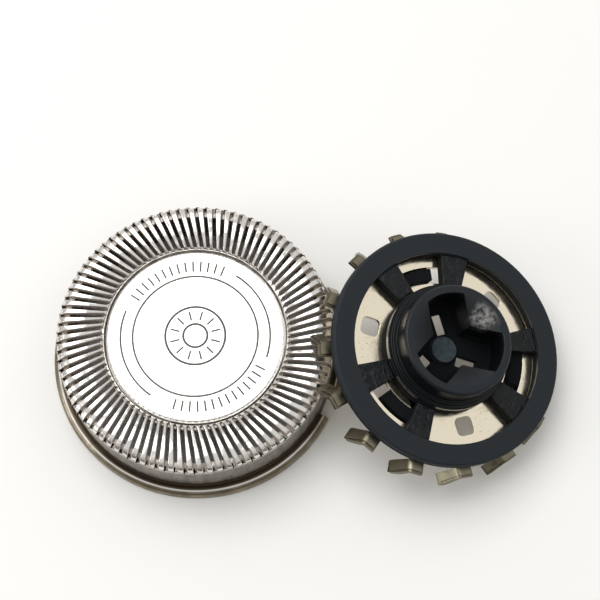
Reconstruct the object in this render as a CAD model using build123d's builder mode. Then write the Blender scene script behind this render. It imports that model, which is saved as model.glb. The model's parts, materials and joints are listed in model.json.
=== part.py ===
"""Rotary shaver head, taken apart: the slotted guard lies face up and its cutter leans on it.

The origin is on the guard's axis, at the underside of its rim. +Z points up, and +X points
from the guard to the cutter. All sizes are in millimetres and degrees.
"""

from math import asin, atan, cos, degrees, radians, sin, tan
import os

from build123d import *

# Guard cap, one deep-drawn and slotted cup of stainless sheet
wall_radius = 10.95
wall_thickness = 0.40
flare_radius = 0.45
rim_round = 0.45
rim_thickness = 0.85
crown_height = 5.75
crown_thickness = 0.50
crown_outer_round = 0.60
crown_inner_chamfer = 0.25
underside_chamfer = 0.40
recess_radius = 7.20
recess_depth = 0.80
floor_thickness = 0.40
centre_hole_radius = 1.50

# Slots through the crown, straight and aslant to the radius
slot_count = 90
slot_width = 0.27
slot_skew = 1.65
bar_inset = 0.02

# Two key notches in the rim
notch_width = 2.40
notch_floor = 0.10
notch_angle = -21.5

# Cover disc in the recess, with an engraved circle and two engraved arcs
disc_gap = 0.13
disc_thickness = 0.64
disc_bevel = 0.18
groove_width = 0.13
groove_depth = 0.06
circle_radius = 4.93
arc_radius = 5.89
arc_span = 75.0
right_arc_angle = 20.0
left_arc_angle = 197.5

# Bearing insert under the cover disc
insert_radius = 3.20
insert_height = 0.50
insert_edge = 0.25
fit_clearance = 0.03
bearing_clearance = 0.10
bearing_depth = 0.60
bearing_lead = 0.20

# Blade ring, one stamping with fifteen bent legs
blade_count = 15
blade_running_gap = 0.20
blade_length = 1.20
blade_set = 2.20
blade_thickness = 0.35
blade_drop = 1.60
blade_slope = 60.0
blade_bend = 0.30
blade_width = 2.00
slit_width = 0.25
slit_end_sides = 8
plate_bore = 3.90
window_hole_size = 1.45
window_hole_round = 0.40
window_hole_radius = 6.17

# Lifter ring, thin spring sheet that lies on the blade ring
lifter_thickness = 0.12
lifter_gap = 0.02
lifter_ring_gap = 0.08
lifter_setback = 0.25
lifter_side_inset = 0.15
lifter_tip_height = 0.30

# Coupler, one moulding: ring, spokes, hub, hooks and centre pin
ring_overhang = 0.53
ring_width = 1.71
ring_rise = 1.25
ring_lip = 0.95
ring_edge_chamfer = 0.15
ledge_inset = 0.30
web_sink = 0.22
big_window_span = 57.5
small_window_span = 30.0
big_window_angle = 50.0
small_window_angle = 111.0
collar_radius = 5.05
collar_rise = 0.15
step_radius = 4.75
step_rise = 0.45
hub_radius = 4.45
hub_rise = 2.25
hub_edge_chamfer = 0.18
seat_clearance = 0.02

# Drive socket in the hub: a cone with three keyways and a pierced floor
cone_radius = 3.65
cone_throat = 1.45
cone_depth = 0.95
keyway_width = 3.20
keyway_reach = 3.75
socket_depth = 3.45
socket_floor = 0.60
boss_radius = 1.05
boss_rise = 0.40
port_length = 1.70
port_width = 0.90
port_radius = 2.10
port_aside = -0.45
spigot_clearance = 0.10
pin_radius = 0.80
pin_end_gap = 0.20
pin_lead = 0.15

# Snap hooks that hang in the small windows and hold the stampings
hook_inner = 5.74
hook_outer = 6.73
hook_gap_angle = 6.0
hook_sink = 0.95
hook_barb = 0.50
hook_barb_height = 0.45
hook_play = 0.17

# Lean of the cutter: one blade on the crown, two on the table
lean_heading = -3.9
crown_overlap = 1.97
cutter_aside = -1.00

os.makedirs("parts", exist_ok=True)

recess_floor = crown_height - recess_depth
floor_underside = recess_floor - floor_thickness
crown_underside = crown_height - crown_thickness
bore_radius = wall_radius - wall_thickness
rim_radius = wall_radius + flare_radius + rim_round
disc_radius = recess_radius - disc_gap

# The blades run inside the cap's bore, and the cutter's other radii follow them inwards
blade_outer = bore_radius - blade_running_gap
blade_inner = blade_outer - blade_length
plate_radius = blade_inner - slit_width
ledge_radius = plate_radius - ledge_inset
ring_outer = plate_radius + ring_overhang
ring_inner = ring_outer - ring_width
lifter_ring_inner = ring_inner + lifter_ring_gap
lifter_reach = blade_outer - lifter_setback

# A blade's cutting edge lies ahead of its leg's radial line. The tips' two edges cross the
# blades' outer circle at these angles from that line.
half_pitch = 180 / blade_count
tip_half_width = blade_thickness / 2 / sin(radians(blade_slope))
lead_angle = degrees(asin((blade_set + tip_half_width) / blade_outer))
lag_angle = degrees(asin((blade_set - tip_half_width) / blade_outer))
leg_lag = (lead_angle + lag_angle) / 2
leg_angle = half_pitch + leg_lag

# The lean that sets two blades on the table and the one opposite them on the crown
lowest_reach = blade_outer * cos(radians(half_pitch - (lead_angle - lag_angle) / 2))
highest_reach = blade_inner * cos(radians(leg_lag)) + (blade_set - tip_half_width) * sin(
    radians(leg_lag)
)
lean = degrees(asin(crown_height / (highest_reach + lowest_reach)))
tip_centre_x = wall_radius + blade_outer * cos(radians(lean)) - crown_overlap
tip_centre_z = lowest_reach * sin(radians(lean))
cutter_axis = Vector(0, 0, 1).rotate(Axis.Y, lean).rotate(Axis.Z, lean_heading)
downhill = Vector(1, 0, 0).rotate(Axis.Y, lean).rotate(Axis.Z, lean_heading)

# The cutter's frame: its origin is the centre of the blade tips' circle, X runs downhill
cutter = Plane(origin=(tip_centre_x, cutter_aside, tip_centre_z), x_dir=downhill, z_dir=cutter_axis)
cutter_side = Plane(origin=cutter.origin, x_dir=downhill, z_dir=-cutter.y_dir)
cutter_line = Axis(cutter.origin, cutter_axis)

plate_top = blade_drop + blade_thickness
ring_top = plate_top + ring_rise
ring_seat = plate_top + lifter_thickness + 2 * lifter_gap
hub_top = ring_top + hub_rise
socket_bottom = hub_top - socket_depth
hub_bottom = socket_bottom - socket_floor
bearing_end = floor_underside - insert_height + bearing_depth
pin_tip = crown_underside - bearing_end + pin_end_gap
bearing_radius = pin_radius + bearing_clearance


# Pressed rounds of the cap are drawn as flats from one of these points to the next
def on_round(centre_radius, centre_height, radius, angle):
    """The point of a round in the cap's profile that lies at an angle, seen from its centre."""
    return (
        centre_radius + radius * cos(radians(angle)),
        centre_height + radius * sin(radians(angle)),
    )


rim_centre = (rim_radius - rim_round, rim_thickness - rim_round)
flare_centre = (wall_radius + flare_radius, rim_thickness + flare_radius)
shoulder_centre = (wall_radius - crown_outer_round, crown_height - crown_outer_round)
bar_foot_angle = degrees(asin(1 - crown_thickness / crown_outer_round))
bar_foot = on_round(*shoulder_centre, crown_outer_round, bar_foot_angle)
bar_bend = on_round(*shoulder_centre, crown_outer_round, (bar_foot_angle + 90) / 2)


def slot_azimuth(radius):
    """Where the first slot's middle line crosses a circle about the guard's axis."""
    return -degrees(asin(slot_skew / radius))


# Bars of the crown, with the slots between them. A bar's ends are flat: each outline is a
# polygon with its corners in the slots.
with BuildPart() as crown_bars:
    for (foot_radius, foot_height), (top_radius, top_height) in (
        (bar_foot, bar_bend),
        (bar_bend, (shoulder_centre[0], crown_height)),
    ):
        with BuildSketch(Plane.XY.offset(foot_height)):
            RegularPolygon(
                foot_radius - bar_inset,
                slot_count,
                major_radius=False,
                rotation=slot_azimuth(bar_bend[0]),
            )
        rise = top_height - foot_height
        extrude(amount=rise, taper=degrees(atan((foot_radius - top_radius) / rise)))
    lip_rotation = slot_azimuth(recess_radius + crown_inner_chamfer / 2)
    with BuildSketch(Plane.XY.offset(crown_underside)):
        RegularPolygon(
            recess_radius + bar_inset,
            slot_count,
            major_radius=False,
            rotation=lip_rotation,
        )
    extrude(amount=crown_thickness, mode=Mode.SUBTRACT)
    with BuildSketch(Plane.XY.offset(crown_height)):
        RegularPolygon(
            recess_radius + bar_inset + crown_inner_chamfer,
            slot_count,
            major_radius=False,
            rotation=lip_rotation,
        )
    extrude(amount=-crown_inner_chamfer, taper=45, mode=Mode.SUBTRACT)
    slot_start = recess_radius - disc_gap
    slot_end = wall_radius + slot_width
    with BuildSketch(Plane.XY.offset(crown_underside)):
        with PolarLocations(0, slot_count):
            with Locations(((slot_start + slot_end) / 2, -slot_skew)):
                Rectangle(slot_end - slot_start, slot_width)
    extrude(amount=crown_thickness, mode=Mode.SUBTRACT)

# Guard cap: the rimmed wall and the recess, joined by the bars
with BuildPart() as guard_cap:
    with BuildSketch(Plane.XZ):
        with BuildLine():
            Polyline(
                (bore_radius, 0),
                (rim_radius, 0),
                on_round(*rim_centre, rim_round, 0),
                on_round(*rim_centre, rim_round, 30),
                on_round(*rim_centre, rim_round, 60),
                on_round(*flare_centre, flare_radius, 270),
                on_round(*flare_centre, flare_radius, 225),
                on_round(*flare_centre, flare_radius, 180),
                on_round(*shoulder_centre, crown_outer_round, 0),
                bar_foot,
                (bore_radius - underside_chamfer, crown_underside),
                (bore_radius, crown_underside - underside_chamfer),
                close=True,
            )
        make_face()
        with BuildLine():
            Polyline(
                (recess_radius, crown_underside),
                (recess_radius, recess_floor),
                (centre_hole_radius, recess_floor),
                (centre_hole_radius, floor_underside),
                (recess_radius + wall_thickness, floor_underside),
                (recess_radius + wall_thickness, crown_underside),
                close=True,
            )
        make_face()
    revolve(axis=Axis.Z)
    add(crown_bars.part)
    with BuildSketch(Plane.XY):
        with PolarLocations(wall_radius + notch_floor, 2, start_angle=notch_angle):
            Rectangle(rim_radius, notch_width, align=(Align.MIN, Align.CENTER))
    extrude(amount=rim_thickness + flare_radius, mode=Mode.SUBTRACT)
guard_cap.part.label = "guard_cap"
export_step(guard_cap.part, "parts/guard_cap.step")

# Cover disc
with BuildPart() as cover_disc:
    with BuildSketch(Plane.XY.offset(recess_floor)):
        Circle(disc_radius)
    extrude(amount=disc_thickness)
    chamfer(cover_disc.faces().sort_by(Axis.Z)[-1].edges(), disc_bevel)
    with BuildSketch(Plane.XY.offset(recess_floor + disc_thickness - groove_depth)):
        Circle(circle_radius + groove_width / 2)
        Circle(circle_radius - groove_width / 2, mode=Mode.SUBTRACT)
        for middle_angle in (right_arc_angle, left_arc_angle):
            with BuildLine():
                CenterArc((0, 0), arc_radius, middle_angle - arc_span / 2, arc_span)
            trace(line_width=groove_width)
    extrude(amount=groove_depth, mode=Mode.SUBTRACT)
cover_disc.part.label = "cover_disc"
export_step(cover_disc.part, "parts/cover_disc.step")

# Bearing insert: its flange seats under the floor, its stem passes the hole up to the disc
with BuildPart() as centre_insert:
    with BuildSketch(Plane.XZ):
        with BuildLine():
            insert_foot = floor_underside - insert_height
            stem_radius = centre_hole_radius - fit_clearance
            Polyline(
                (0, bearing_end),
                (bearing_radius, bearing_end),
                (bearing_radius, insert_foot + bearing_lead),
                (bearing_radius + bearing_lead, insert_foot),
                (insert_radius - insert_edge, insert_foot),
                (insert_radius, insert_foot + insert_edge),
                (insert_radius, floor_underside),
                (stem_radius, floor_underside),
                (stem_radius, recess_floor),
                (0, recess_floor),
                close=True,
            )
        make_face()
    revolve(axis=Axis.Z)
centre_insert.part.label = "centre_insert"
export_step(centre_insert.part, "parts/centre_insert.step")


# Bent legs. A leg is drawn with its cutting edge parallel to X, at the height of the blade
# tips, and climbs towards +Y to its flat arm. The slit between leg and ring has a round end.
def bent_leg(lift, sheet_thickness, reach, side, tip_height):
    """One leg and its arm, its middle line raised square to the blade's by lift."""
    slope = radians(blade_slope)
    blade_middle = blade_drop + blade_thickness / 2
    middle = blade_middle + lift
    corner = blade_middle / tan(slope) - lift * tan(slope / 2)
    foot = -blade_thickness
    arm_start = blade_middle / tan(slope) + blade_bend * tan(slope / 2)
    arm_bottom = middle - sheet_thickness / 2
    slit_middle = (plate_radius + blade_inner) / 2
    with BuildPart() as leg:
        with BuildSketch(Plane.YZ.offset(blade_inner)):
            with BuildLine():
                FilletPolyline(
                    (corner - (middle - foot) / tan(slope) - blade_set, foot),
                    (corner - blade_set, middle),
                    (side - blade_set, middle),
                    radius=blade_bend + lift,
                )
            trace(line_width=sheet_thickness)
        extrude(amount=reach - blade_inner)
        with BuildSketch(Plane.XY.offset(arm_bottom)):
            with Locations((lifter_ring_inner, arm_start - blade_set)):
                Rectangle(
                    reach - lifter_ring_inner,
                    side - arm_start,
                    align=(Align.MIN, Align.MIN),
                )
            with Locations((slit_middle, arm_start - blade_set)):
                RegularPolygon(
                    blade_inner - slit_middle,
                    slit_end_sides,
                    major_radius=False,
                    rotation=180 / slit_end_sides,
                    mode=Mode.SUBTRACT,
                )
        extrude(amount=sheet_thickness)
        split(bisect_by=Plane.XY.offset(tip_height), keep=Keep.TOP)
        with BuildSketch(Plane.XY):
            Circle(blade_outer)
        extrude(amount=middle + sheet_thickness, mode=Mode.INTERSECT)
    return leg.part


blade_leg = bent_leg(0, blade_thickness, blade_outer, blade_width, 0)
lifter_lift = (blade_thickness + lifter_thickness) / 2 + lifter_gap
lifter_side = blade_width - lifter_side_inset
lifter_leg = bent_leg(
    lifter_lift, lifter_thickness, lifter_reach, lifter_side, lifter_tip_height
)

# Blade ring
with BuildPart(cutter) as blade_ring:
    with BuildSketch(cutter.offset(blade_drop)):
        Circle(plate_radius)
        Circle(plate_bore, mode=Mode.SUBTRACT)
        with PolarLocations(window_hole_radius, 3, start_angle=big_window_angle):
            RectangleRounded(
                window_hole_size, window_hole_size, window_hole_round, mode=Mode.SUBTRACT
            )
        hook_slot_inner = hook_inner - hook_play
        hook_slot_outer = hook_outer + hook_play
        for hook_number in range(3):
            slot_middle = small_window_angle + 120 * hook_number
            with BuildLine():
                CenterArc(
                    (0, 0),
                    (hook_slot_inner + hook_slot_outer) / 2,
                    slot_middle - small_window_span / 2 - hook_gap_angle / 2,
                    small_window_span + hook_gap_angle,
                )
            trace(line_width=hook_slot_outer - hook_slot_inner, mode=Mode.SUBTRACT)
    extrude(amount=blade_thickness)
    with PolarLocations(0, blade_count, start_angle=leg_angle):
        add(blade_leg)
blade_ring.part.label = "blade_ring"
export_step(blade_ring.part, "parts/blade_ring.step")

# Lifter ring
with BuildPart(cutter) as lifter_ring:
    with BuildSketch(cutter.offset(plate_top + lifter_gap)):
        Circle(plate_radius)
        Circle(lifter_ring_inner, mode=Mode.SUBTRACT)
    extrude(amount=lifter_thickness)
    with PolarLocations(0, blade_count, start_angle=leg_angle):
        add(lifter_leg)
lifter_ring.part.label = "lifter_ring"
export_step(lifter_ring.part, "parts/lifter_ring.step")

# Coupler
with BuildPart(cutter) as coupler:
    with BuildSketch(cutter_side):
        with BuildLine():
            web_bottom = plate_top + seat_clearance
            web_top = ring_top - web_sink
            spigot_radius = plate_bore - spigot_clearance
            Polyline(
                (0, hub_bottom),
                (spigot_radius, hub_bottom),
                (spigot_radius, web_bottom),
                (ring_inner, web_bottom),
                (ring_inner, ring_seat),
                (ledge_radius, ring_seat),
                (ring_outer, ring_top - ring_lip),
                (ring_outer, ring_top),
                (ring_inner, ring_top),
                (ring_inner, web_top),
                (collar_radius, web_top),
                (collar_radius, ring_top + collar_rise),
                (step_radius, ring_top + collar_rise),
                (step_radius, ring_top + step_rise),
                (hub_radius, ring_top + step_rise),
                (hub_radius, hub_top),
                (0, hub_top),
                close=True,
            )
        make_face()
    revolve(axis=cutter_line)
    rings = coupler.edges().filter_by(GeomType.CIRCLE)
    chamfer(rings.group_by(SortBy.RADIUS)[-1], ring_edge_chamfer)
    chamfer(coupler.faces().sort_by(cutter_line)[-1].edges(), hub_edge_chamfer)
    # Windows through the web
    with BuildSketch(cutter.offset(hub_bottom)):
        for window_number in range(3):
            for middle_angle, span in (
                (big_window_angle, big_window_span),
                (small_window_angle, small_window_span),
            ):
                with BuildLine():
                    CenterArc(
                        (0, 0),
                        (collar_radius + ring_inner) / 2,
                        middle_angle + 120 * window_number - span / 2,
                        span,
                    )
                trace(line_width=ring_inner - collar_radius)
    extrude(amount=hub_top - hub_bottom, mode=Mode.SUBTRACT)
    # Conical mouth of the socket, then its keyways down to the floor
    with BuildSketch(cutter_side):
        with BuildLine():
            Polyline(
                (0, hub_top),
                (cone_radius, hub_top),
                (cone_throat, hub_top - cone_depth),
                (cone_throat, socket_bottom + boss_rise),
                (0, socket_bottom + boss_rise),
                close=True,
            )
        make_face()
    revolve(axis=cutter_line, mode=Mode.SUBTRACT)
    with BuildSketch(cutter.offset(socket_bottom)):
        with PolarLocations(0, 3, start_angle=small_window_angle):
            Rectangle(keyway_reach, keyway_width, align=(Align.MIN, Align.CENTER))
        Circle(keyway_reach, mode=Mode.INTERSECT)
        Circle(boss_radius, mode=Mode.SUBTRACT)
    extrude(amount=socket_depth, mode=Mode.SUBTRACT)
    with BuildSketch(cutter.offset(hub_bottom)):
        with PolarLocations(0, 3, start_angle=small_window_angle):
            with Locations((port_radius, port_aside)):
                Rectangle(port_length, port_width)
    extrude(amount=socket_floor, mode=Mode.SUBTRACT)
    # Snap hooks: a tab beside each opening, with a barb under the blade ring
    hook_foot = blade_drop - seat_clearance - hook_barb_height
    hook_top = ring_top - hook_sink
    for barb, bottom, height in (
        (0, hook_foot, hook_top - hook_foot),
        (hook_barb, hook_foot, hook_barb_height),
    ):
        with BuildSketch(cutter.offset(bottom)):
            for hook_number in range(3):
                window_end = small_window_angle + 120 * hook_number + small_window_span / 2
                with BuildLine():
                    CenterArc(
                        (0, 0),
                        (hook_inner + hook_outer + barb) / 2,
                        window_end + hook_gap_angle / 4,
                        hook_gap_angle - small_window_span - hook_gap_angle / 4,
                    )
                trace(line_width=hook_outer - hook_inner + barb)
        extrude(amount=height)
    # Centre pin that turns in the guard's bearing
    with BuildSketch(cutter.offset(pin_tip)):
        Circle(pin_radius)
    extrude(amount=hub_bottom - pin_tip)
    chamfer(coupler.faces().sort_by(cutter_line)[0].edges(), pin_lead)
coupler.part.label = "coupler"
export_step(coupler.part, "parts/coupler.step")
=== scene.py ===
"""A rotary shaver head, taken apart: finishes, broken edges and stage, built round its solids."""

import json
import math

import bmesh
import bpy
from mathutils import Matrix, Vector


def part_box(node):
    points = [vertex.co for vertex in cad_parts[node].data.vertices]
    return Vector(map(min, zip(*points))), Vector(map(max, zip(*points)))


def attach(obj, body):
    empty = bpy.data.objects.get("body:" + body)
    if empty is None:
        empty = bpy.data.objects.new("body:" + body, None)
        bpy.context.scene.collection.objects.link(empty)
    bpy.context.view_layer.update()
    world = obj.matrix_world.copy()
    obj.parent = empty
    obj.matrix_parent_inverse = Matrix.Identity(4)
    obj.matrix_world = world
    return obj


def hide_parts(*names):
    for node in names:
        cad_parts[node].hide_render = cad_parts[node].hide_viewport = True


bl_info = {
    "name": "Rotary Shaver Head",
    "version": (1, 0, 0),
    "blender": (4, 5, 0),
    "location": "View3D > Sidebar > Shaver Head",
    "description": "Dresses a shaver's guard cap and cutter, and sets them on a pale table",
    "category": "Object",
}

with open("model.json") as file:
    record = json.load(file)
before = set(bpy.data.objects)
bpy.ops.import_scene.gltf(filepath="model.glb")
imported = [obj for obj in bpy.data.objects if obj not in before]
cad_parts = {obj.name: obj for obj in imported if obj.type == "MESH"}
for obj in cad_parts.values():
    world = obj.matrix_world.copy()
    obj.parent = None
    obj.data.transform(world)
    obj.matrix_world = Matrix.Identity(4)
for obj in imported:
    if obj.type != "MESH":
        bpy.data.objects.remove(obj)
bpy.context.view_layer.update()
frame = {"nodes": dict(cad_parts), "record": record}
MOUNTS = {mount["name"]: mount for mount in frame["record"]["mounts"]}
BODY = "root"
MM = 0.001

# Places on the guard cap, in metres
CAP_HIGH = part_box("guard_cap")[1]
CROWN_SHEET = 0.50 * MM
CROWN_MIDDLE = 8.90 * MM
CROWN_HALF_WIDTH = 1.60 * MM
RECESS_RADIUS = 7.20 * MM
FLARE_HEIGHT = 1.10 * MM
# Radius of the rim's lip, along which a painted highlight runs
LIP_RADIUS = 11.44 * MM

# Heights between which the crown's finish, and the rim's, pass into the wall's
CROWN_FADE = (CAP_HIGH.z * 0.82, CAP_HIGH.z * 0.93)
RIM_FADE = (CAP_HIGH.z * 0.26, CAP_HIGH.z * 0.20)

# How the pattern of streaks is squeezed down the wall, so that each comes out long
DRAWN_OUT = 0.12

# Marks on the cover disc, in metres and degrees: a circle and two arcs
CIRCLE_RADIUS = 4.93 * MM
ARC_RADIUS = 5.89 * MM
ARC_SPAN = 75.0
ARC_MIDDLES = (20.0, 197.5)
LINE_HALF_WIDTH = 0.045 * MM
LINE_FADE = 0.025 * MM

# Two rows of plain strokes
ROW_RADIUS = 5.75 * MM
ROW_SPAN = 84.0
ROW_MIDDLES = (109.0, -67.0)
ROW_PITCH = 6.0
ROW_HALF_LENGTH = 0.42 * MM
STROKE_HALF_WIDTH = 0.06 * MM
STROKE_FADE = 0.03 * MM

# The ornament at the centre: two circles, and rays between them
ORNAMENT_RADII = (0.95 * MM, 2.36 * MM)
ORNAMENT_HALF_WIDTH = 0.08 * MM
RAY_RADIUS = 1.66 * MM
RAY_PITCH = 30.0
RAY_HALF_LENGTH = 0.36 * MM

# The cutter's own frame: the centre of its hub's mouth, and the turn that stands it upright
HUB_MOUTH = Vector(MOUNTS["drive_socket"]["pos_m"])
CUTTER_AXIS = Vector(MOUNTS["drive_socket"]["axis"]).normalized()
CUTTER_TURN = (
    Matrix.Rotation(math.atan2(CUTTER_AXIS.y, CUTTER_AXIS.x), 3, "Z")
    @ Matrix.Rotation(math.acos(CUTTER_AXIS.z), 3, "Y")
).to_euler()

# Radii of the cutter's steps, from its axis, in metres
PLATE_RADIUS = 8.90 * MM
RING_INNER = 7.72 * MM
COLLAR_RADIUS = 5.05 * MM
HUB_RADIUS = 4.45 * MM
BOSS_RADIUS = 1.05 * MM

# Top of the coupler's web, below the hub's mouth
WEB_HEIGHT = -2.50 * MM

# The pad of the socket that the spindle rubs, lighter partly from wear and partly as a painted
# highlight: its middle and the heights where this begins
PAD_RADIUS = 3.0 * MM
PAD_ANGLE = 47.0
PAD_HEIGHTS = (-1.4 * MM, -0.9 * MM)

# The blades' tips, their arms above them, and how far out each reaches
TIP_HEIGHT = -5.45 * MM
ARM_RISE = 1.60 * MM
TIP_REACH = 10.30 * MM
ARM_REACH = 10.05 * MM
LIFTER_INSET = 0.20 * MM

# The blades were ground on a circle that lies a little off the cutter's axis
GRIND_CENTRE = HUB_MOUTH + Vector((-0.25, -0.12, 0)) * MM

# Smallest distance at which corners of a solid's triangles are one corner, and the angle up to
# which its triangles lie in one face
MERGE = 0.0005 * MM
ONE_FACE = math.radians(0.5)

# How near to upright the normal of a level face is, and to sideways that of a slot's side
LEVEL = 0.9
SIDEWAYS = 0.6

# Where the camera looks on the table, from the guard cap's axis, and how wide it sees
LOOK_AT = Vector((8.23, 4.81, 0.0)) * MM
LENS = 90.2
SENSOR = 36.0

# Spans of a noise's values: most of them, and a steeper middle
MOST = (0.3, 0.7)
MIDDLE = (0.35, 0.65)

# The lights: name, place and size in metres, and share of the key light's power
LIGHTS = (
    ("key_light", (-0.10, 0.14, 0.36), 0.30, 1.0),
    ("left_light", (-0.42, -0.10, 0.20), 0.22, 0.5),
)
TABLE_HALF_WIDTH = 1.5


def linear(code):
    """The linear colour of an sRGB hex code, opaque."""
    parts = [int(code[i : i + 2], 16) / 255 for i in (1, 3, 5)]
    return tuple(
        part / 12.92 if part <= 0.04045 else ((part + 0.055) / 1.055) ** 2.4
        for part in parts
    ) + (1.0,)


class GuardSettings(bpy.types.PropertyGroup):
    """Sizes and colours of the guard cap and what sits in it."""

    bar_edge: bpy.props.FloatProperty(
        name="Bar edge",
        description="Radius to which tumbling has rounded the edges of bars and slots",
        default=0.09 * MM,
        precision=6,
        unit="LENGTH",
        subtype="DISTANCE",
    )
    disc_edge: bpy.props.FloatProperty(
        name="Disc edge",
        description="Radius at the corners of the cover disc's bevel",
        default=0.03 * MM,
        precision=6,
        unit="LENGTH",
        subtype="DISTANCE",
    )
    steel: bpy.props.FloatVectorProperty(
        name="Steel",
        description="Colour of the polished guard cap",
        default=linear("#e9e6e2"),
        size=4,
        subtype="COLOR",
    )
    rim_steel: bpy.props.FloatVectorProperty(
        name="Rim steel",
        description="Warmer colour of the unpolished rim and flare",
        default=linear("#948a78"),
        size=4,
        subtype="COLOR",
    )
    rim_stain: bpy.props.FloatVectorProperty(
        name="Rim stain",
        description="Darker film on the rim and flare",
        default=linear("#7b705e"),
        size=4,
        subtype="COLOR",
    )
    wall_steel: bpy.props.FloatVectorProperty(
        name="Wall steel",
        description="Colour of the drawn wall",
        default=linear("#8d8780"),
        size=4,
        subtype="COLOR",
    )
    wall_streak: bpy.props.FloatVectorProperty(
        name="Wall streak",
        description="Darker streaks that drawing left down the wall",
        default=linear("#6c655e"),
        size=4,
        subtype="COLOR",
    )
    # Painted shade: a brown-black colour laid over the hollow of the flare, between wall and rim
    flare_shade: bpy.props.FloatVectorProperty(
        name="Flare film",
        description="Brown film in the hollow between wall and rim",
        default=linear("#40362b"),
        size=4,
        subtype="COLOR",
    )
    # Painted light: a pale colour on the slots' sides and open ledges, so that the slots read
    # grey rather than black
    slot_painted_light: bpy.props.FloatVectorProperty(
        name="Slot grime",
        description="Dull film on the sides of the slots",
        default=linear("#bdb3a8"),
        size=4,
        subtype="COLOR",
    )
    disc_steel: bpy.props.FloatVectorProperty(
        name="Disc steel",
        description="Colour of the satin cover disc",
        default=linear("#dddbd7"),
        size=4,
        subtype="COLOR",
    )
    etching: bpy.props.FloatVectorProperty(
        name="Etching",
        description="Colour of the disc's engraved and etched marks",
        default=linear("#5c5c59"),
        size=4,
        subtype="COLOR",
    )
    acetal: bpy.props.FloatVectorProperty(
        name="Acetal",
        description="Milky colour of the bearing insert",
        default=linear("#dcdad0"),
        size=4,
        subtype="COLOR",
    )


class CutterSettings(bpy.types.PropertyGroup):
    """Sizes and colours of the cutter."""

    lifter_edge: bpy.props.FloatProperty(
        name="Lifter edge",
        description="Radius of the thin lifters' sheared edges",
        default=0.01 * MM,
        precision=6,
        unit="LENGTH",
        subtype="DISTANCE",
    )
    moulded_edge: bpy.props.FloatProperty(
        name="Moulded edge",
        description="Radius of the coupler's moulded edges",
        default=0.06 * MM,
        precision=6,
        unit="LENGTH",
        subtype="DISTANCE",
    )
    sheared_edge: bpy.props.FloatProperty(
        name="Sheared edge",
        description="Radius of the stamped edges of blades and plate",
        default=0.03 * MM,
        precision=6,
        unit="LENGTH",
        subtype="DISTANCE",
    )
    blade_steel: bpy.props.FloatVectorProperty(
        name="Blade steel",
        description="Warm colour of the blade ring",
        default=linear("#fdf2da"),
        size=4,
        subtype="COLOR",
    )
    leg_steel: bpy.props.FloatVectorProperty(
        name="Leg steel",
        description="Olive brown of the blades' legs",
        default=linear("#716b5b"),
        size=4,
        subtype="COLOR",
    )
    stain: bpy.props.FloatVectorProperty(
        name="Stain",
        description="Colour of the blade ring's faint stains",
        default=linear("#b9a680"),
        size=4,
        subtype="COLOR",
    )
    spring_steel: bpy.props.FloatVectorProperty(
        name="Spring steel",
        description="Olive grey of the lifters",
        default=linear("#857f6c"),
        size=4,
        subtype="COLOR",
    )
    plastic: bpy.props.FloatVectorProperty(
        name="Matte plastic",
        description="Blue-black of the coupler's eroded ring",
        default=linear("#1a2025"),
        size=4,
        subtype="COLOR",
    )
    gloss_plastic: bpy.props.FloatVectorProperty(
        name="Glossy plastic",
        description="Black of the coupler's hub, spokes and walls",
        default=linear("#090d10"),
        size=4,
        subtype="COLOR",
    )
    boss_plastic: bpy.props.FloatVectorProperty(
        name="Boss plastic",
        description="Grey of the grained boss in the socket",
        default=linear("#465054"),
        size=4,
        subtype="COLOR",
    )
    # The pad's colour is lighter partly from wear and partly as a painted highlight
    rubbed_sheen_plastic: bpy.props.FloatVectorProperty(
        name="Rubbed plastic",
        description="Grey-brown of the pad that the spindle rubs",
        default=linear("#8b8886"),
        size=4,
        subtype="COLOR",
    )


class StageSettings(bpy.types.PropertyGroup):
    """The table, the lights and the camera's place."""

    table: bpy.props.FloatVectorProperty(
        name="Table",
        description="Colour of the table top",
        default=linear("#f4f3f0"),
        size=4,
        subtype="COLOR",
    )
    key_power: bpy.props.FloatProperty(
        name="Key light",
        description="Power of the large light above",
        default=0.8,
        unit="POWER",
    )
    sky: bpy.props.FloatProperty(
        name="Room light",
        description="Brightness of the pale room above the table",
        default=0.78,
    )
    low_sky: bpy.props.FloatVectorProperty(
        name="Low room",
        description="Colour of the room low down and in front",
        default=linear("#6a655e"),
        size=4,
        subtype="COLOR",
    )
    high_sky: bpy.props.FloatVectorProperty(
        name="High room",
        description="Colour of the room above and behind",
        default=linear("#fbfbfa"),
        size=4,
        subtype="COLOR",
    )
    camera_distance: bpy.props.FloatProperty(
        name="Camera distance",
        description="From the camera to the point on the table that it looks at",
        default=125 * MM,
        unit="LENGTH",
        subtype="DISTANCE",
    )
    camera_elevation: bpy.props.FloatProperty(
        name="Camera elevation",
        description="How steeply the camera looks down",
        default=math.radians(71.55),
        unit="ROTATION",
        subtype="ANGLE",
    )


# Nodes and materials


def add_node(tree, kind, settings=None, **links):
    """Adds a node, with its settings, and its inputs' values or the sockets that feed them."""
    node = tree.nodes.new(kind)
    for name, value in (settings or {}).items():
        setattr(node, name, value)
    for name, value in links.items():
        key = int(name[1:]) if name[1:].isdigit() else name.replace("_", " ")
        if isinstance(value, bpy.types.NodeSocket):
            tree.links.new(value, node.inputs[key])
        else:
            node.inputs[key].default_value = value
    return node


def new_material(name):
    """An empty node material, its Principled shader and its Object coordinates."""
    material = bpy.data.materials.new(name)
    material.use_nodes = True
    tree = material.node_tree
    tree.nodes.clear()
    shader = add_node(tree, "ShaderNodeBsdfPrincipled")
    add_node(tree, "ShaderNodeOutputMaterial", Surface=shader.outputs["BSDF"])
    place = add_node(tree, "ShaderNodeTexCoord").outputs["Object"]
    return material, tree, shader, place


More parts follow.
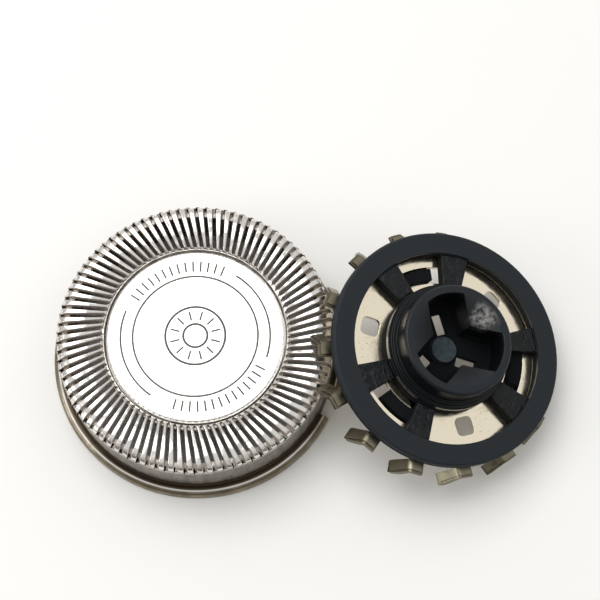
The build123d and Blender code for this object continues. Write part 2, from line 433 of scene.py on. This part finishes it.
def noise(tree, place, period, detail=2.0, roughness=0.5, distortion=0.0):
    """Noise whose lumps are about one period across, in metres."""
    return add_node(
        tree,
        "ShaderNodeTexNoise",
        Vector=place,
        Scale=1 / period,
        Detail=detail,
        Roughness=roughness,
        Distortion=distortion,
    ).outputs["Fac"]


def stretch(tree, value, low, high, to_low=0.0, to_high=1.0):
    """A value from one range mapped to another, clamped."""
    return add_node(
        tree,
        "ShaderNodeMapRange",
        Value=value,
        From_Min=low,
        From_Max=high,
        To_Min=to_low,
        To_Max=to_high,
    ).outputs["Result"]


def mix(tree, factor, first, second):
    """A colour mixed from two."""
    return add_node(
        tree,
        "ShaderNodeMix",
        {"data_type": "RGBA"},
        _0=factor,
        _6=first,
        _7=second,
    ).outputs[2]


def blend(tree, factor, first, second):
    """A number between two."""
    return add_node(
        tree, "ShaderNodeMix", _0=factor, _2=first, _3=second
    ).outputs[0]


def arithmetic(tree, operation, first, second=0.0):
    """The result of one step of arithmetic."""
    return add_node(
        tree, "ShaderNodeMath", {"operation": operation}, _0=first, _1=second
    ).outputs[0]


def product(tree, first, second):
    """One value times another: of two masks, where they lie over each other."""
    return arithmetic(tree, "MULTIPLY", first, second)


def largest(tree, *values):
    """The largest of some values: of masks, where any of them lies."""
    found = values[0]
    for value in values[1:]:
        found = arithmetic(tree, "MAXIMUM", found, value)
    return found


def polar(tree, place):
    """A point's distance from the Z axis of its coordinates, its angle and its height."""
    parts = add_node(tree, "ShaderNodeSeparateXYZ", Vector=place).outputs
    squares = [product(tree, parts[axis], parts[axis]) for axis in "XY"]
    radius = arithmetic(tree, "SQRT", arithmetic(tree, "ADD", *squares))
    return radius, arithmetic(tree, "ARCTAN2", parts["Y"], parts["X"]), parts["Z"]


def near(tree, value, middle, half_width, fade):
    """One where a value lies within half a width of the middle, and nought beyond the fade."""
    off = arithmetic(tree, "ABSOLUTE", arithmetic(tree, "SUBTRACT", value, middle))
    return stretch(tree, off, half_width + fade, half_width)


def near_angle(tree, angle, middle, span, fade=math.radians(0.4)):
    """One inside a span of angles, in degrees, about a middle angle."""
    off = arithmetic(tree, "SUBTRACT", angle, math.radians(middle))
    wrapped = add_node(
        tree,
        "ShaderNodeMath",
        {"operation": "WRAP"},
        _0=off,
        _1=math.pi,
        _2=-math.pi,
    ).outputs[0]
    return near(tree, wrapped, 0.0, math.radians(span) / 2, fade)


def cutter_place(tree, place):
    """Coordinates from the centre of the hub's mouth, with Z along the cutter's axis."""
    return add_node(
        tree,
        "ShaderNodeMapping",
        {"vector_type": "TEXTURE"},
        Vector=place,
        Location=HUB_MOUTH,
        Rotation=CUTTER_TURN,
    ).outputs["Vector"]


def bump(tree, shader, height, distance):
    """Gives the shader's surface a relief, its full height in metres."""
    node = add_node(
        tree, "ShaderNodeBump", Height=height, Distance=distance, Strength=1.0
    )
    tree.links.new(node.outputs["Normal"], shader.inputs["Normal"])


def polished_stainless(settings):
    """Deep-drawn stainless steel, tumbled bright on the crown and left plainer below.

    The bars give broken white glints over dark slots, the wall a drawn, streaky grey, and the
    rim a warm, duller sheen. Painted shade darkens the flare's hollow, a painted highlight runs
    along the rim's lip, and painted light greys the slots' sides.
    """
    material, tree, shader, place = new_material("polished_stainless_steel")
    radius, angle, height = polar(tree, place)
    around = add_node(
        tree,
        "ShaderNodeCombineXYZ",
        X=product(tree, angle, RECESS_RADIUS),
        Y=product(tree, height, DRAWN_OUT),
    ).outputs["Vector"]
    streaks = noise(tree, around, 0.35 * MM, detail=4.0)
    smear = noise(tree, place, 1.2 * MM, detail=4.0)
    crown = stretch(tree, height, *CROWN_FADE)
    rim = stretch(tree, height, *RIM_FADE)
    streaked = stretch(tree, streaks, *MIDDLE)
    wall = mix(tree, streaked, settings.wall_steel, settings.wall_streak)
    stained = stretch(tree, smear, *MIDDLE)
    warm = mix(tree, stained, settings.rim_steel, settings.rim_stain)
    tint = mix(tree, crown, mix(tree, rim, wall, warm), settings.steel)
    # Painted shade darkens the hollow of the flare, between wall and rim
    flare = near(tree, height, FLARE_HEIGHT, 0.18 * MM, 0.14 * MM)
    tint = mix(tree, flare, tint, settings.flare_shade)
    # Painted highlight: a bright line of the crown's steel colour along the top of the rim's lip
    lip_highlight = product(
        tree,
        near(tree, radius, LIP_RADIUS, 0.04 * MM, 0.05 * MM),
        stretch(tree, height, 0.5 * MM, 0.6 * MM),
    )
    tint = mix(tree, product(tree, lip_highlight, 0.8), tint, settings.steel)
    # Painted light: the slots' sides and open ledges take a pale, less metallic colour, so that
    # the slots read grey rather than black
    lightened = add_node(
        tree, "ShaderNodeAttribute", {"attribute_name": "slot_side"}
    ).outputs["Fac"]
    tint = mix(tree, stretch(tree, lightened, 0.3, 0.9), tint, settings.slot_painted_light)
    tree.links.new(tint, shader.inputs["Base Color"])
    tree.links.new(stretch(tree, lightened, 0.3, 0.9, 1.0, 0.2), shader.inputs["Metallic"])
    worn = stretch(tree, smear, *MOST, 0.12, 0.24)
    dull = product(tree, arithmetic(tree, "SUBTRACT", 1.0, crown), 0.14)
    tree.links.new(arithmetic(tree, "ADD", worn, dull), shader.inputs["Roughness"])
    # Each bar is a little uneven and bowed, so its reflections break up and end in grey
    waves = noise(tree, place, 1.0 * MM, detail=0.0, distortion=0.3)
    off = arithmetic(tree, "SUBTRACT", radius, CROWN_MIDDLE)
    bowed = stretch(tree, arithmetic(tree, "ABSOLUTE", off), 0.0, CROWN_HALF_WIDTH)
    dome = product(tree, product(tree, bowed, bowed), 0.45)
    relief = product(
        tree,
        arithmetic(tree, "SUBTRACT", waves, dome),
        stretch(tree, crown, 0.0, 1.0, 0.25, 1.0),
    )
    bump(tree, shader, relief, 0.16 * MM)
    return material


def strokes(tree, radius, angle, pitch, middle, half_length):
    """Short radial strokes of one width, one to each pitch in degrees, along a ring."""
    turns = arithmetic(tree, "DIVIDE", angle, math.radians(pitch))
    off = arithmetic(tree, "SUBTRACT", arithmetic(tree, "FRACT", turns), 0.5)
    aside = product(tree, product(tree, off, radius), math.radians(pitch))
    stroke = near(tree, aside, 0.0, STROKE_HALF_WIDTH, STROKE_FADE)
    row = near(tree, radius, middle, half_length, STROKE_FADE)
    return product(tree, stroke, row)


def satin_stainless(settings):
    """Stainless sheet with a fine satin grind and grey etched marks, bright from above.

    The marks are an engraved circle and two arcs, two rows of plain strokes and a small
    strokes-and-circle ornament at the centre.
    """
    material, tree, shader, place = new_material("satin_stainless_steel")
    radius, angle, _ = polar(tree, place)
    lines = [near(tree, radius, CIRCLE_RADIUS, LINE_HALF_WIDTH, LINE_FADE)]
    arc = near(tree, radius, ARC_RADIUS, LINE_HALF_WIDTH, LINE_FADE)
    for middle in ARC_MIDDLES:
        lines.append(product(tree, arc, near_angle(tree, angle, middle, ARC_SPAN)))
    row = strokes(tree, radius, angle, ROW_PITCH, ROW_RADIUS, ROW_HALF_LENGTH)
    for middle in ROW_MIDDLES:
        lines.append(product(tree, row, near_angle(tree, angle, middle, ROW_SPAN)))
    for ring in ORNAMENT_RADII:
        lines.append(near(tree, radius, ring, ORNAMENT_HALF_WIDTH, LINE_FADE))
    lines.append(strokes(tree, radius, angle, RAY_PITCH, RAY_RADIUS, RAY_HALF_LENGTH))
    etched = largest(tree, *lines)
    tint = mix(tree, etched, settings.disc_steel, settings.etching)
    tree.links.new(tint, shader.inputs["Base Color"])
    shader.inputs["Metallic"].default_value = 1.0
    smear = noise(tree, place, 2.0 * MM, detail=3.0)
    satin = stretch(tree, smear, *MOST, 0.26, 0.34)
    rough = largest(tree, satin, product(tree, etched, 0.6))
    tree.links.new(rough, shader.inputs["Roughness"])
    # The real grind is finer, and is drawn this coarse so that it shows
    bump(tree, shader, noise(tree, place, 0.12 * MM, detail=2.0), 0.001 * MM)
    return material


def moulded_acetal(settings):
    """Natural acetal, moulded: milky, with a low sheen."""
    material, tree, shader, place = new_material("natural_acetal")
    shader.inputs["Base Color"].default_value = settings.acetal
    shader.inputs["Roughness"].default_value = 0.45
    bump(tree, shader, noise(tree, place, 0.3 * MM), 0.004 * MM)
    return material


def blade_steel(settings):
    """Cold-rolled blade steel: a warm mirror on the plate, olive and duller on the legs.

    The plate doubles the black walls round it and shows faint specks and stains of use.
    """
    material, tree, shader, place = new_material("warm_blade_steel")
    radius, _, _ = polar(tree, cutter_place(tree, place))
    blotch = noise(tree, place, 1.6 * MM, detail=5.0, roughness=0.65, distortion=0.6)
    speck = noise(tree, place, 0.22 * MM, detail=1.0)
    stained = largest(
        tree,
        stretch(tree, blotch, 0.60, 0.80, 0.0, 0.5),
        stretch(tree, speck, 0.70, 0.76, 0.0, 0.8),
    )
    plate = mix(tree, stained, settings.blade_steel, settings.stain)
    legs = stretch(tree, radius, PLATE_RADIUS - 0.3 * MM, PLATE_RADIUS)
    tint = mix(tree, legs, plate, settings.leg_steel)
    tree.links.new(tint, shader.inputs["Base Color"])
    shader.inputs["Metallic"].default_value = 1.0
    gloss = stretch(tree, blotch, 0.35, 0.75, 0.10, 0.26)
    dull = product(tree, legs, 0.14)
    tree.links.new(arithmetic(tree, "ADD", gloss, dull), shader.inputs["Roughness"])
    bump(tree, shader, noise(tree, place, 0.5 * MM, detail=2.0), 0.006 * MM)
    return material


def spring_steel(settings):
    """Thin rolled spring steel: olive grey, with soft long reflections."""
    material, tree, shader, place = new_material("rolled_spring_steel")
    shader.inputs["Base Color"].default_value = settings.spring_steel
    shader.inputs["Metallic"].default_value = 1.0
    smear = noise(tree, place, 0.8 * MM, detail=3.0)
    rough = stretch(tree, smear, *MOST, 0.22, 0.42)
    tree.links.new(rough, shader.inputs["Roughness"])
    bump(tree, shader, noise(tree, place, 0.2 * MM, detail=3.0), 0.003 * MM)
    return material


def coupler_plastic(settings):
    """Black engineering plastic, moulded: a finely eroded matte ring, all else glossy.

    The spokes show lumps of flow, one pad of the socket is lighter, partly from wear and partly
    as a painted highlight, and the boss on the socket's floor is grained.
    """
    material, tree, shader, place = new_material("moulded_black_plastic")
    own = cutter_place(tree, place)
    radius, angle, height = polar(tree, own)
    ring = stretch(tree, radius, RING_INNER - 0.12 * MM, RING_INNER + 0.05 * MM)
    spokes = product(
        tree,
        arithmetic(tree, "SUBTRACT", 1.0, ring),
        stretch(tree, radius, COLLAR_RADIUS - 0.1 * MM, COLLAR_RADIUS + 0.2 * MM),
    )
    boss = stretch(tree, radius, BOSS_RADIUS + 0.08 * MM, BOSS_RADIUS)
    # The eroded grain is finer in truth, and is drawn this coarse so that it shows
    fine = noise(tree, own, 0.09 * MM, detail=3.0)
    lumps = noise(tree, own, 0.55 * MM, detail=5.0, roughness=0.6, distortion=0.5)
    pad = product(
        tree,
        near(tree, radius, PAD_RADIUS, 0.45 * MM, 0.6 * MM),
        near_angle(tree, angle, PAD_ANGLE, 16.0, math.radians(14.0)),
    )
    pad = product(tree, pad, stretch(tree, height, *PAD_HEIGHTS))
    patches = noise(tree, own, 0.4 * MM, detail=4.0)
    # Painted highlight: the pad's lighter colour stands partly for wear and partly for a
    # highlight on it
    rubbed_sheen = product(tree, pad, stretch(tree, patches, 0.36, 0.60))
    mouth = product(
        tree,
        stretch(tree, height, -0.5 * MM, -0.1 * MM),
        stretch(tree, radius, HUB_RADIUS, HUB_RADIUS - 0.3 * MM),
    )
    tint = mix(tree, ring, settings.gloss_plastic, settings.plastic)
    tint = mix(tree, mouth, tint, settings.plastic)
    grained = stretch(tree, patches, *MIDDLE, 0.0, 0.45)
    grain = mix(tree, grained, settings.boss_plastic, settings.plastic)
    tint = mix(tree, boss, tint, grain)
    tint = mix(tree, rubbed_sheen, tint, settings.rubbed_sheen_plastic)
    tree.links.new(tint, shader.inputs["Base Color"])
    deep = stretch(tree, height, WEB_HEIGHT, WEB_HEIGHT - 0.1 * MM)
    gloss = stretch(tree, radius, HUB_RADIUS, COLLAR_RADIUS, 0.34, 0.16)
    matte = stretch(tree, fine, *MOST, 0.50, 0.66)
    rough = blend(tree, largest(tree, ring, boss), gloss, matte)
    rough = largest(tree, rough, product(tree, deep, 0.95))
    tree.links.new(rough, shader.inputs["Roughness"])
    # Carbon-filled plastic swallows much of the light between its grains
    shader.inputs["Specular IOR Level"].default_value = 0.30
    lumpy = largest(tree, spokes, product(tree, boss, 0.6), rubbed_sheen)
    relief = blend(tree, lumpy, product(tree, fine, 0.10), lumps)
    bump(tree, shader, relief, 0.18 * MM)
    return material


def white_laminate(settings):
    """Matt white laminate: smooth and pale, so that it takes soft shadows."""
    material, tree, shader, place = new_material("matt_white_laminate")
    shader.inputs["Base Color"].default_value = settings.table
    shader.inputs["Roughness"].default_value = 0.6
    bump(tree, shader, noise(tree, place, 0.6 * MM), 0.002 * MM)
    return material


# Pieces


def lies_inside(face):
    """Whether a face lies flat under or between the bars, where it keeps its triangles."""
    depth = CAP_HIGH.z - face.calc_center_median().z
    return abs(face.normal.z) > LEVEL and depth > CROWN_SHEET / 2


def mark_slot_sides(shape):
    """Notes which faces are a slot's sides or its open ledge, and the bars' edges."""
    side = shape.faces.layers.float.new("slot_side")
    for face in shape.faces:
        middle = face.calc_center_median()
        depth = CAP_HIGH.z - middle.z
        outwards = Vector((middle.x, middle.y, 0)).normalized()
        across = abs(face.normal.dot(outwards.cross(Vector((0, 0, 1)))))
        ledge = face.normal.z > LEVEL and depth > CROWN_SHEET / 2
        if middle.xy.length > RECESS_RADIUS and depth < 1.2 * CROWN_SHEET:
            face[side] = float(across > SIDEWAYS or ledge)
    weight = shape.edges.layers.float.new("bevel_weight_edge")
    for edge in shape.edges:
        marks = sorted(face[side] for face in edge.link_faces)
        rises = all(face.normal.z > -0.1 for face in edge.link_faces)
        edge[weight] = float(marks == [0.0, 1.0] and rises)


def relieve_legs(shape, inset=0.0):
    """Draws the legs' outer edges in a little, more at their arms than at the blades' tips."""
    for vertex in shape.verts:
        off = vertex.co - GRIND_CENTRE
        height = off.dot(CUTTER_AXIS)
        outwards = off - height * CUTTER_AXIS
        rise = min(1.0, (height - TIP_HEIGHT) / ARM_RISE)
        reach = TIP_REACH + (ARM_REACH - TIP_REACH) * rise - inset
        if outwards.length > reach:
            vertex.co -= outwards * (1 - reach / outwards.length)


def relieve_lifters(shape):
    """Keeps the lifters' outer edges inside those of the blades."""
    relieve_legs(shape, LIFTER_INSET)


def dressed_copy(
    name,
    node,
    edge_radius,
    material,
    crease=50.0,
    steps=2,
    rework=None,
    keep=None,
    limit="ANGLE",
):
    """Stands for a solid: the same form, its corners merged and its sharp edges rounded.

    Faces that keep picks out stay triangles. rework changes or marks the merged shape.
    """
    mesh = frame["nodes"][node].data.copy()
    mesh.name = name
    mesh.materials.clear()
    # The solid's own normals would hide the rounded edges
    if "custom_normal" in mesh.attributes:
        mesh.attributes.remove(mesh.attributes["custom_normal"])
    shape = bmesh.new()
    shape.from_mesh(mesh)
    bmesh.ops.remove_doubles(shape, verts=shape.verts, dist=MERGE)
    kept = {face for face in shape.faces if keep and keep(face)}
    merging = [edge for edge in shape.edges if not kept.issuperset(edge.link_faces)]
    bmesh.ops.dissolve_limit(
        shape, angle_limit=ONE_FACE, verts=shape.verts, edges=merging
    )
    for face in shape.faces:
        face.smooth = True
    for edge in shape.edges:
        edge.smooth = edge.calc_face_angle(0.0) < math.radians(crease)
    if rework:
        rework(shape)
    shape.to_mesh(mesh)
    shape.free()
    mesh.materials.append(material)
    piece = bpy.data.objects.new(name, mesh)
    bpy.context.scene.collection.objects.link(piece)
    broken = piece.modifiers.new("broken_edges", "BEVEL")
    broken.width = edge_radius
    broken.segments = steps
    broken.limit_method = limit
    broken.angle_limit = math.radians(crease)
    # Clamped, every edge would be as sharp as the shortest one needs
    broken.use_clamp_overlap = False
    broken.harden_normals = True
    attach(piece, BODY)
    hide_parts(node)


class SHAVERHEAD_OT_guard_cap(bpy.types.Operator):
    """Dresses the slotted guard cap."""

    bl_idname = "shaverhead.guard_cap"
    bl_label = "Guard cap"

    def execute(self, context):
        settings = context.scene.guard_settings
        dressed_copy(
            "guard_cap_dressed",
            "guard_cap",
            settings.bar_edge,
            polished_stainless(settings),
            rework=mark_slot_sides,
            keep=lies_inside,
            limit="WEIGHT",
        )
        return {"FINISHED"}


class SHAVERHEAD_OT_cover_disc(bpy.types.Operator):
    """Dresses the cover disc in the guard cap's recess."""

    bl_idname = "shaverhead.cover_disc"
    bl_label = "Cover disc"

    def execute(self, context):
        settings = context.scene.guard_settings
        dressed_copy(
            "cover_disc_dressed",
            "cover_disc",
            settings.disc_edge,
            satin_stainless(settings),
            crease=30.0,
        )
        return {"FINISHED"}


class SHAVERHEAD_OT_centre_insert(bpy.types.Operator):
    """Gives the bearing insert its plastic."""

    bl_idname = "shaverhead.centre_insert"
    bl_label = "Centre insert"

    def execute(self, context):
        insert = frame["nodes"]["centre_insert"]
        insert.data.materials.clear()
        insert.data.materials.append(moulded_acetal(context.scene.guard_settings))
        return {"FINISHED"}


class SHAVERHEAD_OT_blade_ring(bpy.types.Operator):
    """Dresses the blade ring."""

    bl_idname = "shaverhead.blade_ring"
    bl_label = "Blade ring"

    def execute(self, context):
        settings = context.scene.cutter_settings
        dressed_copy(
            "blade_ring_dressed",
            "blade_ring",
            settings.sheared_edge,
            blade_steel(settings),
            rework=relieve_legs,
        )
        return {"FINISHED"}


class SHAVERHEAD_OT_lifter_ring(bpy.types.Operator):
    """Dresses the lifter ring."""

    bl_idname = "shaverhead.lifter_ring"
    bl_label = "Lifter ring"

    def execute(self, context):
        settings = context.scene.cutter_settings
        dressed_copy(
            "lifter_ring_dressed",
            "lifter_ring",
            settings.lifter_edge,
            spring_steel(settings),
            steps=1,
            rework=relieve_lifters,
        )
        return {"FINISHED"}


class SHAVERHEAD_OT_coupler(bpy.types.Operator):
    """Dresses the moulded coupler."""

    bl_idname = "shaverhead.coupler"
    bl_label = "Coupler"

    def execute(self, context):
        settings = context.scene.cutter_settings
        dressed_copy(
            "coupler_dressed",
            "coupler",
            settings.moulded_edge,
            coupler_plastic(settings),
            crease=30.0,
            steps=3,
        )
        return {"FINISHED"}


class SHAVERHEAD_OT_stage(bpy.types.Operator):
    """Sets the camera, the table and the soft lights."""

    bl_idname = "shaverhead.stage"
    bl_label = "Camera, table and lights"

    def execute(self, context):
        settings = context.scene.stage_settings
        self.camera(context, settings)
        self.table(context, settings)
        self.lights(context, settings)
        return {"FINISHED"}

    def camera(self, context, settings):
        """Looks down at the table from the front."""
        data = bpy.data.cameras.new("camera")
        data.lens = LENS
        data.sensor_width = SENSOR
        data.clip_start = 1 * MM
        camera = bpy.data.objects.new("camera", data)
        context.scene.collection.objects.link(camera)
        elevation = settings.camera_elevation
        back = Vector((0, -math.cos(elevation), math.sin(elevation)))
        camera.location = LOOK_AT + back * settings.camera_distance
        camera.rotation_euler = (math.pi / 2 - elevation, 0, 0)
        context.scene.camera = camera
        context.scene.view_settings.view_transform = "Standard"

    def table(self, context, settings):
        """A table top far wider than the object."""
        shape = bmesh.new()
        bmesh.ops.create_grid(
            shape, x_segments=1, y_segments=1, size=TABLE_HALF_WIDTH
        )
        mesh = bpy.data.meshes.new("table")
        shape.to_mesh(mesh)
        shape.free()
        mesh.materials.append(white_laminate(settings))
        table = bpy.data.objects.new("table", mesh)
        context.scene.collection.objects.link(table)

    def lights(self, context, settings):
        """One large light above and behind, one to the left, and a pale room."""
        for name, place, size, share in LIGHTS:
            data = bpy.data.lights.new(name, "AREA")
            data.shape = "SQUARE"
            data.size = size
            data.energy = settings.key_power * share
            light = bpy.data.objects.new(name, data)
            light.location = Vector(place)
            light.rotation_mode = "QUATERNION"
            light.rotation_quaternion = (LOOK_AT - Vector(place)).to_track_quat("-Z", "Y")
            context.scene.collection.objects.link(light)
        world = bpy.data.worlds.new("pale_room")
        world.use_nodes = True
        tree = world.node_tree
        tree.nodes.clear()
        direction = add_node(tree, "ShaderNodeTexCoord").outputs["Generated"]
        parts = add_node(tree, "ShaderNodeSeparateXYZ", Vector=direction).outputs
        lift = arithmetic(tree, "ADD", parts["Z"], product(tree, parts["Y"], 0.4))
        lifted = stretch(tree, lift, -0.1, 0.7)
        shade = mix(tree, lifted, settings.low_sky, settings.high_sky)
        background = add_node(
            tree, "ShaderNodeBackground", Color=shade, Strength=settings.sky
        )
        add_node(
            tree, "ShaderNodeOutputWorld", Surface=background.outputs["Background"]
        )
        context.scene.world = world


class SHAVERHEAD_PT_panel(bpy.types.Panel):
    """Lists the sizes and colours, and the operators that dress the shaver head."""

    bl_idname = "SHAVERHEAD_PT_panel"
    bl_label = "Shaver Head"
    bl_space_type = "VIEW_3D"
    bl_region_type = "UI"
    bl_category = "Shaver Head"

    def draw(self, context):
        for name, group in GROUPS.items():
            box = self.layout.box()
            for setting in group.__annotations__:
                box.prop(getattr(context.scene, name), setting)
        for operator in OPERATORS:
            self.layout.operator(operator.bl_idname)


GROUPS = {
    "guard_settings": GuardSettings,
    "cutter_settings": CutterSettings,
    "stage_settings": StageSettings,
}
OPERATORS = (
    SHAVERHEAD_OT_stage,
    SHAVERHEAD_OT_guard_cap,
    SHAVERHEAD_OT_cover_disc,
    SHAVERHEAD_OT_centre_insert,
    SHAVERHEAD_OT_blade_ring,
    SHAVERHEAD_OT_lifter_ring,
    SHAVERHEAD_OT_coupler,
)


def register():
    """Registers the settings, the operators and the panel."""
    for name, group in GROUPS.items():
        bpy.utils.register_class(group)
        setattr(bpy.types.Scene, name, bpy.props.PointerProperty(type=group))
    for operator in OPERATORS:
        bpy.utils.register_class(operator)
    bpy.utils.register_class(SHAVERHEAD_PT_panel)


def unregister():
    """Removes what register added."""
    bpy.utils.unregister_class(SHAVERHEAD_PT_panel)
    for operator in reversed(OPERATORS):
        bpy.utils.unregister_class(operator)
    for name, group in reversed(GROUPS.items()):
        delattr(bpy.types.Scene, name)
        bpy.utils.unregister_class(group)


def main():
    """Builds everything in order."""
    register()
    bpy.ops.shaverhead.stage()
    bpy.ops.shaverhead.guard_cap()
    bpy.ops.shaverhead.cover_disc()
    bpy.ops.shaverhead.centre_insert()
    bpy.ops.shaverhead.blade_ring()
    bpy.ops.shaverhead.lifter_ring()
    bpy.ops.shaverhead.coupler()


if __name__ == "__main__":
    main()
